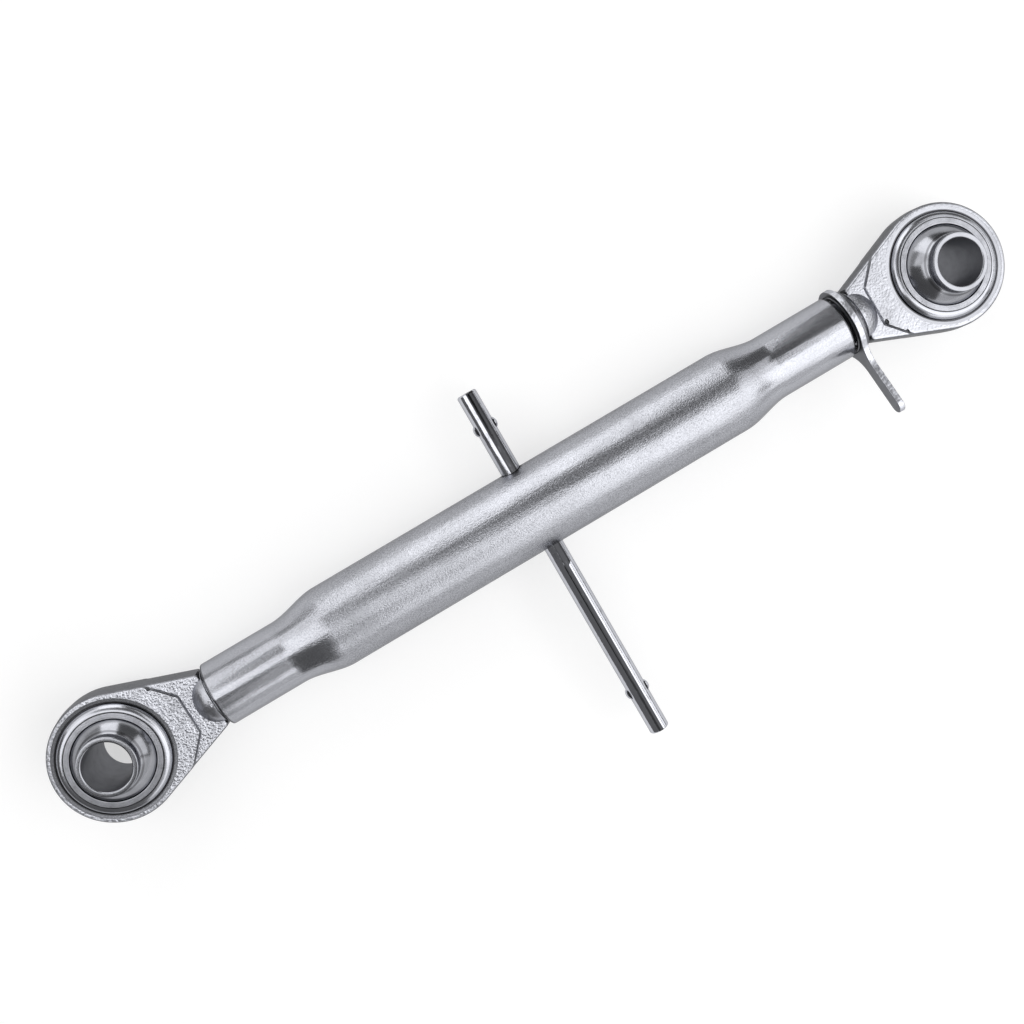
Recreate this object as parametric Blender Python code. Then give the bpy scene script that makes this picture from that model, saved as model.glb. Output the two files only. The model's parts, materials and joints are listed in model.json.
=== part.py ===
"""Adjustable ball-and-ball top link, lying flat with its bores upright.

Two forged rod ends screw into a swaged tube, one thread of each hand. Each
eye holds a pressed-in steel ball with a cross bore. A bar slid through the
tube turns it, and a nut with a lever locks the setting at the right end.

The link runs along X, its bores stand along Z and the bar lies along Y. The
origin is the middle of the footprint, on the surface that the balls rest on.
Every length is in metres and every angle in radians.
"""

import math

import bmesh
import bpy
from mathutils import Matrix, Vector

# The whole link, closed, with the bar slid off its middle as it lies
EYE_SPACING = 0.5126
BAR_SLID = 0.0354
LEFT_GAP = 0.0015
LEVER_GAP = 0.0022
NUT_GAP = 0.0024

# Fits between pieces: ball in its seat, shank in the tube, bar in its hole
SEAT_CLEARANCE = 0.0003
THREAD_CLEARANCE = 0.0004
BAR_CLEARANCE = 0.0005
WELD_GAP = 0.0003

# Balls
BALL_RADIUS = 0.0253
BALL_WIDTH = 0.051
BORE_RADIUS = 0.01285
SLEEVE_WALL = 0.00295
BORE_CHAMFER = 0.001
SLEEVE_CHAMFER = 0.0005
SLEEVE_FILLET = 0.0012
LEFT_BALL_LEAN = math.radians(-2.3)
RIGHT_BALL_LEAN = math.radians(5.0)

# Eyes, from the pressed lip over the ball outwards
LIP_HEIGHT = 0.0132
LIP_FACE_WIDTH = 0.0037
LIP_STEP = 0.0005
SHOULDER_WIDTH = 0.0044
SHOULDER_DROP = 0.0031
BEVEL_WIDTH = 0.0024
BEVEL_DROP = 0.0005
BEVEL_STEP = 0.0002
RIM_WIDTH = 0.0027
RING_BURY = 0.001
LEFT_EYE_ROLL = math.radians(2.0)
RIGHT_EYE_ROLL = math.radians(-4.5)

# Forged plates and necks
HUB_THICKNESS = 0.020
NECK_THICKNESS = 0.017
NECK_WIDTH = 0.032
LEFT_NECK_LENGTH = 0.0582
RIGHT_NECK_LENGTH = 0.054
EDGE_ROUND = 0.0016
DRAFT_INSET = 0.0004
SHOULDER_CHAMFER = 0.001
STEP_LAND = 0.0086
STEP_FLAT_WIDTH = 0.022
STEP_SLANT = math.radians(48.3)

# Threaded shanks, plain here at the size over their threads
SHANK_RADIUS = 0.0146
SHANK_TIP_GAP = 0.020
SHANK_CHAMFER = 0.002
ROOT_EXTRA = 0.0004
DOME_LENGTH = 0.012
COLLAR_PROUD = 0.0004
RELIEF_DEPTH = 0.0014
RELIEF_LENGTH = 0.003

# Swaged tube
TUBE_RADIUS = 0.0231
TUBE_WALL = 0.005
SWAGE_WALL = 0.0031
SWAGE_LENGTH = 0.043
TAPER_LENGTH = 0.028
TUBE_CHAMFER = 0.0008

# Lock nut and its lever
LEVER_THICKNESS = 0.0035
LEVER_RING_WIDTH = 0.0028
LEVER_REACH = 0.0575
LEVER_WIDTH = 0.0098
LEVER_FLANK_RADIUS = 0.016
LEVER_EDGE = 0.0004
LEVER_RAISE = math.radians(18.5)
NUT_WALL = 0.0024
NUT_COLLAR_WIDTH = 0.0007
NUT_COLLAR_LENGTH = 0.0022
NUT_CHAMFER = 0.0005

# Turning bar and the ears staked on it
BAR_RADIUS = 0.0056
BAR_LENGTH = 0.2125
BAR_CHAMFER = 0.001
FRONT_EAR_SETBACK = 0.0258
REAR_EAR_SETBACK = 0.0206
EAR_PROUD = 0.0014
EAR_LENGTH = 0.007
EAR_THICKNESS = 0.004

# How far a cutting tool runs past what it cuts
OVERRUN = 0.004
# Points closer than this are one point
WELD = 0.000001

# Facets round a turned piece, and along its curves
RING_FACETS = 48
BALL_FACETS = 44
ROUND_FACETS = 40
BAR_FACETS = 24
EYE_STEPS = 32
SEAT_STEPS = 8
BALL_STEPS = 14
CURVE_STEPS = 4
TAPER_STEPS = 6
CREASE = math.radians(32)

# What follows from the sizes above
SLEEVE_RADIUS = BORE_RADIUS + SLEEVE_WALL
SEAT_RADIUS = BALL_RADIUS + SEAT_CLEARANCE
LIP_RADIUS = math.sqrt(SEAT_RADIUS**2 - LIP_HEIGHT**2)
LIP_OUTER = LIP_RADIUS + LIP_FACE_WIDTH
SHOULDER_FOOT = LIP_OUTER + SHOULDER_WIDTH
BEVEL_OUTER = SHOULDER_FOOT + BEVEL_WIDTH
EYE_RADIUS = BEVEL_OUTER + RIM_WIDTH
ROOT_RADIUS = SHANK_RADIUS + ROOT_EXTRA
THREAD_BORE = SHANK_RADIUS + THREAD_CLEARANCE
SWAGE_RADIUS = THREAD_BORE + SWAGE_WALL
SPIGOT_RADIUS = THREAD_BORE + NUT_WALL
LEVER_HOLE = SPIGOT_RADIUS + WELD_GAP
LEVER_RING_RADIUS = LEVER_HOLE + LEVER_RING_WIDTH
COLLAR_RADIUS = SPIGOT_RADIUS + NUT_COLLAR_WIDTH
NUT_STACK = LEVER_THICKNESS + WELD_GAP + NUT_COLLAR_LENGTH
LEFT_EYE_X = -EYE_SPACING / 2
RIGHT_EYE_X = EYE_SPACING / 2
TUBE_LEFT = LEFT_EYE_X + LEFT_NECK_LENGTH + COLLAR_PROUD + LEFT_GAP
NUT_RIGHT = RIGHT_EYE_X - RIGHT_NECK_LENGTH - COLLAR_PROUD - NUT_GAP
LEVER_LEFT = NUT_RIGHT - NUT_STACK
TUBE_RIGHT = LEVER_LEFT - LEVER_GAP
TUBE_MIDDLE = (TUBE_LEFT + TUBE_RIGHT) / 2
# Both rods are one forging, so the left one, which sits deeper, sets the length
SHANK_REACH = TUBE_MIDDLE - BAR_RADIUS - SHANK_TIP_GAP
SHANK_LENGTH = SHANK_REACH - LEFT_EYE_X - LEFT_NECK_LENGTH


def foot_depth(lean):
    """How far below its centre a leaning ball's sleeve reaches."""
    return BALL_WIDTH / 2 * math.cos(lean) + SLEEVE_RADIUS * math.sin(abs(lean))


AXIS_HEIGHT = max(foot_depth(LEFT_BALL_LEAN), foot_depth(RIGHT_BALL_LEAN))


def clear_scene():
    for thing in list(bpy.data.objects):
        bpy.data.objects.remove(thing, do_unlink=True)


def metal(name, colour, roughness):
    """A bare or plated steel finish."""
    made = bpy.data.materials.new(name)
    made.use_nodes = True
    shader = made.node_tree.nodes["Principled BSDF"]
    shader.inputs["Base Color"].default_value = (*colour, 1.0)
    shader.inputs["Roughness"].default_value = roughness
    shader.inputs["Metallic"].default_value = 1.0
    return made


def finished(name, bm, material=None):
    """Turn a bmesh into a named object, smooth but for its creases."""
    bmesh.ops.remove_doubles(bm, verts=bm.verts, dist=WELD)
    bmesh.ops.recalc_face_normals(bm, faces=bm.faces)
    mesh = bpy.data.meshes.new(name)
    bm.to_mesh(mesh)
    bm.free()
    mesh.shade_smooth()
    mesh.set_sharp_from_angle(angle=CREASE)
    made = bpy.data.objects.new(name, mesh)
    bpy.context.scene.collection.objects.link(made)
    if material is not None:
        mesh.materials.append(material)
    return made


def arc(centre, radius, start, end, steps):
    """Points on a circle in a plane, from one angle to another."""
    turn = [start + (end - start) * i / steps for i in range(steps + 1)]
    return [(centre[0] + radius * math.cos(a), centre[1] + radius * math.sin(a)) for a in turn]


def lathe(profile, closed, facets):
    """Turn a profile of (radius, height) points round Z."""
    bm = bmesh.new()
    verts = [bm.verts.new((r, 0, h)) for r, h in profile]
    ends = zip(verts, verts[1:] + verts[:1]) if closed else zip(verts, verts[1:])
    edges = [bm.edges.new(pair) for pair in ends]
    bmesh.ops.spin(
        bm,
        geom=verts + edges,
        cent=(0, 0, 0),
        axis=(0, 0, 1),
        angle=math.tau,
        steps=facets,
        use_merge=True,
    )
    return bm


def lay_along_x(bm):
    """Lay a piece turned round Z along X, with its height running to +X."""
    bm.transform(Matrix.Rotation(math.pi / 2, 4, "Y"))
    return bm


def lay_along_y(bm):
    """Lay a piece turned round Z along Y, with its height running to +Y."""
    bm.transform(Matrix.Rotation(-math.pi / 2, 4, "X"))
    return bm


def loft(layers):
    """Skin a stack of equal outlines, given as (height, points), and cap it."""
    bm = bmesh.new()
    rings = [[bm.verts.new((x, y, z)) for x, y in points] for z, points in layers]
    for low, high in zip(rings, rings[1:]):
        for i, corner in enumerate(low):
            j = (i + 1) % len(low)
            bm.faces.new((corner, low[j], high[j], high[i]))
    bm.faces.new(rings[0][::-1])
    bm.faces.new(rings[-1])
    return bm


def prism(points, low, high):
    """An outline in XY run from one height to another."""
    return loft([(low, points), (high, points)])


def operand(name, bm):
    """A helper solid for a Boolean, kept out of the render."""
    made = finished(name, bm)
    made.hide_render = True
    made.display_type = "WIRE"
    return made


def combine(target, other, operation):
    """Cut or join with a helper solid that follows its target."""
    other.parent = target
    step = target.modifiers.new(other.name, "BOOLEAN")
    step.operation = operation
    step.solver = "EXACT"
    step.object = other


def pivot(name, x, y, z):
    """An empty on a joint's axis."""
    made = bpy.data.objects.new(name, None)
    made.location = (x, y, z)
    bpy.context.scene.collection.objects.link(made)
    return made


def mount_on(piece, parent):
    piece.parent = parent
    return piece


def ball_profile():
    """Half of the ball's section, round its bore: sphere, fillet, sleeve."""
    half = BALL_WIDTH / 2
    fillet_centre = SLEEVE_RADIUS + SLEEVE_FILLET
    reach = BALL_RADIUS + SLEEVE_FILLET
    fillet_height = math.sqrt(reach**2 - fillet_centre**2)
    meet = math.atan2(fillet_height, fillet_centre)
    upper = arc((fillet_centre, fillet_height), SLEEVE_FILLET, meet + math.pi, math.pi, CURVE_STEPS)
    upper += [
        (SLEEVE_RADIUS, half - SLEEVE_CHAMFER),
        (SLEEVE_RADIUS - SLEEVE_CHAMFER, half),
        (BORE_RADIUS + BORE_CHAMFER, half),
        (BORE_RADIUS, half - BORE_CHAMFER),
    ]
    sphere = arc((0, 0), BALL_RADIUS, -meet, meet, BALL_STEPS)[1:-1]
    lower = [(r, -h) for r, h in reversed(upper)]
    return lower + sphere + upper


def ball(name, pivot_empty, lean, material):
    made = finished(name, lathe(ball_profile(), True, BALL_FACETS), material)
    made.rotation_euler = (0, lean, 0)
    return mount_on(made, pivot_empty)


def ring_profile():
    """The eye's boss: ball seat, pressed lip, rounded shoulder, bevel."""
    lip_turn = math.asin(LIP_HEIGHT / SEAT_RADIUS)
    seat = arc((0, 0), SEAT_RADIUS, -lip_turn, lip_turn, SEAT_STEPS)
    top = LIP_HEIGHT - LIP_STEP
    foot = top - SHOULDER_DROP
    quarter = arc((0, 0), 1, math.pi / 2, 0, CURVE_STEPS)
    shoulder = [(LIP_OUTER + SHOULDER_WIDTH * x, foot + SHOULDER_DROP * y) for x, y in quarter]
    rim = HUB_THICKNESS / 2 - BEVEL_STEP
    upper = [
        (LIP_OUTER, LIP_HEIGHT),
        *shoulder,
        (SHOULDER_FOOT, min(foot, rim - BEVEL_DROP)),
        (BEVEL_OUTER, rim),
        (BEVEL_OUTER + RING_BURY, rim),
    ]
    lower = [(r, -h) for r, h in reversed(upper)]
    return seat + upper + lower


def neck_taper(neck_length):
    """Angle of the neck's side, which runs from the shoulder to touch the eye's circle."""
    half = NECK_WIDTH / 2
    away = math.hypot(neck_length, half)
    touch = math.atan2(half, neck_length) + math.acos(EYE_RADIUS / away)
    return math.pi / 2 - touch


def plate_outline(neck_length, inset):
    """Eye and neck seen from above, drawn in by an even inset."""
    taper = neck_taper(neck_length)
    touch = math.pi / 2 - taper
    eye = arc((0, 0), EYE_RADIUS - inset, touch, math.tau - touch, EYE_STEPS)
    side = NECK_WIDTH / 2 - inset / math.cos(taper)
    corner = side - SHOULDER_CHAMFER
    back = neck_length - SHOULDER_CHAMFER
    wide = side + SHOULDER_CHAMFER * math.tan(taper)
    return eye + [(back, -wide), (neck_length, -corner), (neck_length, corner), (back, wide)]


def plate_layers(neck_length):
    """The forging's section: drafted sides and rounded edges."""
    half = HUB_THICKNESS / 2
    turns = [math.pi / 2 * i / CURVE_STEPS for i in range(CURVE_STEPS + 1)]
    rise = [(half - EDGE_ROUND * (1 - math.sin(a)), EDGE_ROUND * (1 - math.cos(a))) for a in turns]
    upper = [(z, DRAFT_INSET + cut) for z, cut in rise]
    heights = [(-z, inset) for z, inset in reversed(upper)] + [(0, 0)] + upper
    return [(z, plate_outline(neck_length, inset)) for z, inset in heights]


def neck_cutter(name, neck_length, side):
    """Lowers one face of the neck behind the stepped edge of the hub."""
    near = EYE_RADIUS + STEP_LAND
    flat = STEP_FLAT_WIDTH / 2
    wide = EYE_RADIUS + OVERRUN
    back = near - (wide - flat) / math.tan(STEP_SLANT)
    far = neck_length + OVERRUN
    points = [(near, -flat), (back, -wide), (far, -wide), (far, wide), (back, wide), (near, flat)]
    low, high = sorted((side * NECK_THICKNESS / 2, side * (HUB_THICKNESS / 2 + OVERRUN)))
    return operand(name, prism(points[::-1], low, high))


def shank_profile(neck_length):
    """Domed root, relief and shank, as (radius, distance from the eye)."""
    face = neck_length + COLLAR_PROUD
    relief = SHANK_RADIUS - RELIEF_DEPTH
    tip = neck_length + SHANK_LENGTH
    quarter = arc((0, 0), 1, math.pi, math.pi / 2, CURVE_STEPS)
    dome = [(ROOT_RADIUS * y, neck_length + DOME_LENGTH * x) for x, y in quarter]
    return [
        *dome,
        (ROOT_RADIUS, face),
        (relief, face),
        (relief, face + RELIEF_LENGTH),
        (SHANK_RADIUS, face + RELIEF_LENGTH + RELIEF_DEPTH),
        (SHANK_RADIUS, tip - SHANK_CHAMFER),
        (SHANK_RADIUS - SHANK_CHAMFER, tip),
        (0, tip),
    ]


def rod_end(name, neck_length, eye_pivot, turn, roll, material):
    """A forged eye with its neck and shank; the shank points along its own +X."""
    made = finished(name, loft(plate_layers(neck_length)), material)
    bore = [(BEVEL_OUTER, -HUB_THICKNESS), (BEVEL_OUTER, HUB_THICKNESS)]
    hole = [(0, -HUB_THICKNESS), *bore, (0, HUB_THICKNESS)]
    combine(made, operand(name + ".hole", lathe(hole, False, RING_FACETS)), "DIFFERENCE")
    for side, word in ((1, ".upper_neck"), (-1, ".lower_neck")):
        combine(made, neck_cutter(name + word, neck_length, side), "DIFFERENCE")
    ring = lathe(ring_profile(), True, RING_FACETS)
    combine(made, operand(name + ".ring", ring), "UNION")
    shank = lay_along_x(lathe(shank_profile(neck_length), False, ROUND_FACETS))
    combine(made, operand(name + ".shank", shank), "UNION")
    made.rotation_euler = (roll, 0, turn)
    return mount_on(made, eye_pivot)


def ease(share):
    """A smooth run from 0 to 1."""
    return share * share * (3 - 2 * share)


def swage_run(near, far, small, large):
    """Radii along one taper, easing out of the small end into the large."""
    steps = [i / TAPER_STEPS for i in range(TAPER_STEPS + 1)]
    return [(small + (large - small) * ease(s), near + (far - near) * s) for s in steps]


def tube_profile():
    """Section of the tube's wall, outside and then inside."""
    length = TUBE_RIGHT - TUBE_LEFT
    inner = TUBE_RADIUS - TUBE_WALL
    start = SWAGE_LENGTH
    end = SWAGE_LENGTH + TAPER_LENGTH
    outside = [
        (SWAGE_RADIUS - TUBE_CHAMFER, 0),
        (SWAGE_RADIUS, TUBE_CHAMFER),
        *swage_run(start, end, SWAGE_RADIUS, TUBE_RADIUS),
        *reversed(swage_run(length - start, length - end, SWAGE_RADIUS, TUBE_RADIUS)),
        (SWAGE_RADIUS, length - TUBE_CHAMFER),
        (SWAGE_RADIUS - TUBE_CHAMFER, length),
    ]
    inside = [
        (THREAD_BORE + TUBE_CHAMFER, 0),
        (THREAD_BORE, TUBE_CHAMFER),
        *swage_run(start, end, THREAD_BORE, inner),
        *reversed(swage_run(length - start, length - end, THREAD_BORE, inner)),
        (THREAD_BORE, length - TUBE_CHAMFER),
        (THREAD_BORE + TUBE_CHAMFER, length),
    ]
    return outside + inside[::-1]


def bar_hole():
    """The cross hole through both walls, at the tube's own middle."""
    reach = TUBE_RADIUS + OVERRUN
    radius = BAR_RADIUS + BAR_CLEARANCE
    drill = lathe([(0, -reach), (radius, -reach), (radius, reach), (0, reach)], False, BAR_FACETS)
    return operand("barrel_tube.bar_hole", lay_along_y(drill))


def barrel_tube(turn_pivot, material):
    wall = lay_along_x(lathe(tube_profile(), True, ROUND_FACETS))
    bmesh.ops.translate(wall, verts=wall.verts, vec=(TUBE_LEFT - TUBE_MIDDLE, 0, 0))
    made = finished("barrel_tube", wall, material)
    combine(made, bar_hole(), "DIFFERENCE")
    return mount_on(made, turn_pivot)


def nut_profile():
    """The nut: a spigot through the lever's ring, and a collar behind it."""
    collar = LEVER_THICKNESS + WELD_GAP
    return [
        (THREAD_BORE + NUT_CHAMFER, 0),
        (SPIGOT_RADIUS - NUT_CHAMFER, 0),
        (SPIGOT_RADIUS, NUT_CHAMFER),
        (SPIGOT_RADIUS, collar),
        (COLLAR_RADIUS, collar),
        (COLLAR_RADIUS, NUT_STACK - NUT_CHAMFER),
        (COLLAR_RADIUS - NUT_CHAMFER, NUT_STACK),
        (THREAD_BORE + NUT_CHAMFER, NUT_STACK),
        (THREAD_BORE, NUT_STACK - NUT_CHAMFER),
        (THREAD_BORE, NUT_CHAMFER),
    ]


def lock_nut(lock_pivot, material):
    turned = lay_along_x(lathe(nut_profile(), True, ROUND_FACETS))
    return mount_on(finished("lock_nut", turned, material), lock_pivot)


def lever_outline(inset):
    """Ring and arm in one outline, the arm along +X, its flanks swept in to the ring."""
    ring = LEVER_RING_RADIUS - inset
    half = LEVER_WIDTH / 2 - inset
    flank = LEVER_FLANK_RADIUS + inset
    height = half + flank
    along = math.sqrt((ring + flank) ** 2 - height**2)
    leave = math.atan2(height, along)
    tip = LEVER_REACH - LEVER_WIDTH / 2
    round_ring = arc((0, 0), ring, leave, math.tau - leave, EYE_STEPS)
    lower = arc((along, -height), flank, math.pi - leave, math.pi / 2, CURVE_STEPS)
    end = arc((tip, 0), half, -math.pi / 2, math.pi / 2, 2 * CURVE_STEPS)
    upper = arc((along, height), flank, -math.pi / 2, leave - math.pi, CURVE_STEPS)
    return round_ring + lower[1:] + end + upper[:-1]


def lock_lever(lock_pivot, material):
    """A flat plate across the link, its arm reaching out to the front and a little up."""
    layers = [
        (0, lever_outline(LEVER_EDGE)),
        (LEVER_EDGE, lever_outline(0)),
        (LEVER_THICKNESS - LEVER_EDGE, lever_outline(0)),
        (LEVER_THICKNESS, lever_outline(LEVER_EDGE)),
    ]
    plate = loft(layers)
    reach = LEVER_THICKNESS + OVERRUN
    hole = [(0, -OVERRUN), (LEVER_HOLE, -OVERRUN), (LEVER_HOLE, reach), (0, reach)]
    drill = lathe(hole, False, ROUND_FACETS)
    across = Matrix((Vector((0, 0, 1)), Vector((1, 0, 0)), Vector((0, 1, 0)))).to_4x4()
    swing = Matrix.Rotation(math.pi - LEVER_RAISE, 4, "X") @ across
    plate.transform(swing)
    drill.transform(swing)
    made = finished("lock_lever", plate, material)
    combine(made, operand("lock_lever.hole", drill), "DIFFERENCE")
    return mount_on(made, lock_pivot)


def ear(name, along):
    """A flat-sided oval web that leaves a small lens proud on both sides of the bar."""
    wide = BAR_RADIUS + EAR_PROUD
    deep = EAR_LENGTH / 2 / math.sqrt(1 - (BAR_RADIUS / wide) ** 2)
    turns = [math.tau * i / BAR_FACETS for i in range(BAR_FACETS)]
    points = [(wide * math.cos(a), along + deep * math.sin(a)) for a in turns]
    return operand(name, prism(points, -EAR_THICKNESS / 2, EAR_THICKNESS / 2))


def tommy_bar(bar_pivot, material):
    half = BAR_LENGTH / 2
    rod = [
        (0, -half),
        (BAR_RADIUS - BAR_CHAMFER, -half),
        (BAR_RADIUS, BAR_CHAMFER - half),
        (BAR_RADIUS, half - BAR_CHAMFER),
        (BAR_RADIUS - BAR_CHAMFER, half),
        (0, half),
    ]
    made = finished("tommy_bar", lay_along_y(lathe(rod, False, BAR_FACETS)), material)
    combine(made, ear("tommy_bar.front_ears", FRONT_EAR_SETBACK - half), "UNION")
    combine(made, ear("tommy_bar.rear_ears", half - REAR_EAR_SETBACK), "UNION")
    return mount_on(made, bar_pivot)


def build():
    clear_scene()
    forging = metal("zinc_forging", (0.64, 0.65, 0.67), 0.42)
    polished = metal("polished_ball", (0.55, 0.56, 0.58), 0.16)
    tube = metal("zinc_tube", (0.62, 0.63, 0.66), 0.30)
    plate = metal("zinc_lever", (0.60, 0.61, 0.63), 0.36)
    bright = metal("bright_bar", (0.66, 0.67, 0.69), 0.24)
    axis_y = BAR_SLID
    left = pivot("left_eye_pivot", LEFT_EYE_X, axis_y, AXIS_HEIGHT)
    right = pivot("right_eye_pivot", RIGHT_EYE_X, axis_y, AXIS_HEIGHT)
    turn = pivot("tube_turn_pivot", TUBE_MIDDLE, axis_y, AXIS_HEIGHT)
    lock = pivot("lock_pivot", LEVER_LEFT, axis_y, AXIS_HEIGHT)
    slide = pivot("bar_pivot", TUBE_MIDDLE, axis_y - BAR_SLID, AXIS_HEIGHT)
    rod_end("left_rod_end", LEFT_NECK_LENGTH, left, 0, LEFT_EYE_ROLL, forging)
    rod_end("right_rod_end", RIGHT_NECK_LENGTH, right, math.pi, -RIGHT_EYE_ROLL, forging)
    ball("left_ball", left, LEFT_BALL_LEAN, polished)
    ball("right_ball", right, RIGHT_BALL_LEAN, polished)
    barrel_tube(turn, tube)
    lock_nut(lock, plate)
    lock_lever(lock, plate)
    tommy_bar(slide, bright)


build()
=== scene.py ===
"""The adjustable top link, finished piece by piece and lit in a plain studio.

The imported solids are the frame. Each piece here is turned, drawn or threaded
in the place of its solid, and rides on the solid's body. Every length is in
metres and every angle in radians.
"""

import json
import logging
from dataclasses import dataclass
from enum import Enum, IntEnum
from math import acos, asin, atan2, cos, hypot, pi, radians, sin, sqrt, tan, tau
from typing import Callable, List, Optional, Sequence, Tuple, Union

import bmesh
import bpy
from mathutils import Matrix, Vector


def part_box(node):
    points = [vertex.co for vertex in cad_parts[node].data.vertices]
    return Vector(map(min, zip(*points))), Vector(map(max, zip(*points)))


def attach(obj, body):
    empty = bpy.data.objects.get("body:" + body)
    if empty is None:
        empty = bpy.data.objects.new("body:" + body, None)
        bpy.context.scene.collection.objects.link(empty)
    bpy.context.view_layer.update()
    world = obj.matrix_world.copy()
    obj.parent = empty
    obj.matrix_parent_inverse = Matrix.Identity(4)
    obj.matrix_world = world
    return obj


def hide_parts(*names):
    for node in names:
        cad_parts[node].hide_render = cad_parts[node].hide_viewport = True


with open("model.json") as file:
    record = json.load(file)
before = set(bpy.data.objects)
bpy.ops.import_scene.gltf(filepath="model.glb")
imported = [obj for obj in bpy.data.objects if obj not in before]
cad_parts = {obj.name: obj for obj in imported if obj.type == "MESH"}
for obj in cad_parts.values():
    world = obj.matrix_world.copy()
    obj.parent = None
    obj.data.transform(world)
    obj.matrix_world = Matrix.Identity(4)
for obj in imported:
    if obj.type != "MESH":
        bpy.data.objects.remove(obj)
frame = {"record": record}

LOG = logging.getLogger("top_link")
Term = Union["Signal", float]
Piece = bpy.types.Object
Triple = Tuple[float, float, float]
Pair = Tuple[float, float]
Profile = List[Pair]
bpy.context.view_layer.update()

# How near two points are, to merge or to compare them.
WELD = 0.000002
SEAM = 0.000005
HAIR = 0.00001
SLACK = 0.0001
SEED = 0.001

# How much of a normal points one way, on a face that counts as facing it.
LEVEL = 0.985
END_ON = 0.9
STEEP = 0.8

QUARTER = pi / 2
TINT = (0.983, 1.0, 1.078)
WHITE = (1.0, 1.0, 1.0, 1.0)
ZERO = (0.0, 0.0, 0.0)
ONE = (1.0, 1.0, 1.0)
RAYS = ("Camera", "Glossy", "Transmission")
LIE = Matrix.Rotation(QUARTER, 4, "Y")


class Join(Enum):
    """What a tool solid does to the piece that it is used on."""

    ADD = "UNION"
    CUT = "DIFFERENCE"


class Hand(Enum):
    """Which way a thread winds."""

    RIGHT = 1.0
    LEFT = -1.0


class Facing(Enum):
    """Which way a lamp shines."""

    DOWN = (0.0, 0.0, -1.0)
    FORWARD = (0.0, -1.0, 0.0)
    BACKWARD = (0.0, 1.0, 0.0)
    LEFTWARD = (-1.0, 0.0, 0.0)


class Zone(IntEnum):
    """The forging's zones, in the order of its materials."""

    SKIN = 0
    FLANK = 1
    TURNED = 2
    LIP = 3
    DOME = 4
    # Painted shade: faces given a near-black tone on the step, in the flaws and on the neck's end.
    CORNER = 5


@dataclass
class Signal:
    """One number that varies over a surface, for use in plain sums."""

    sheet: "Sheet"
    socket: bpy.types.NodeSocket

    def _sum(self, operation: str, *terms: Term, clamp: bool = False) -> "Signal":
        """Add one Math node."""
        settings = {"operation": operation, "use_clamp": clamp}
        return self.sheet.node("ShaderNodeMath", settings, dict(enumerate(terms)))

    def __add__(self, other: Term) -> "Signal":
        """self + other, or other + self."""
        return self._sum("ADD", self, other)

    __radd__ = __add__

    def __sub__(self, other: Term) -> "Signal":
        """self - other."""
        return self._sum("SUBTRACT", self, other)

    def __rsub__(self, other: float) -> "Signal":
        """other - self."""
        return self._sum("SUBTRACT", other, self)

    def __mul__(self, other: Term) -> "Signal":
        """self * other, or other * self."""
        return self._sum("MULTIPLY", self, other)

    __rmul__ = __mul__

    def __truediv__(self, other: Term) -> "Signal":
        """self / other."""
        return self._sum("DIVIDE", self, other)

    def __rtruediv__(self, other: float) -> "Signal":
        """other / self."""
        return self._sum("DIVIDE", other, self)

    def __abs__(self) -> "Signal":
        """The size of self."""
        return self._sum("ABSOLUTE", self)

    def clamped(self) -> "Signal":
        """Self, kept between 0 and 1."""
        return self._sum("ADD", self, 0.0, clamp=True)

    def rise(self, low: float, high: float) -> "Signal":
        """A smooth step."""
        settings = {"interpolation_type": "SMOOTHSTEP"}
        return self.sheet.node("ShaderNodeMapRange", settings, {0: self, 1: low, 2: high})


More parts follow.
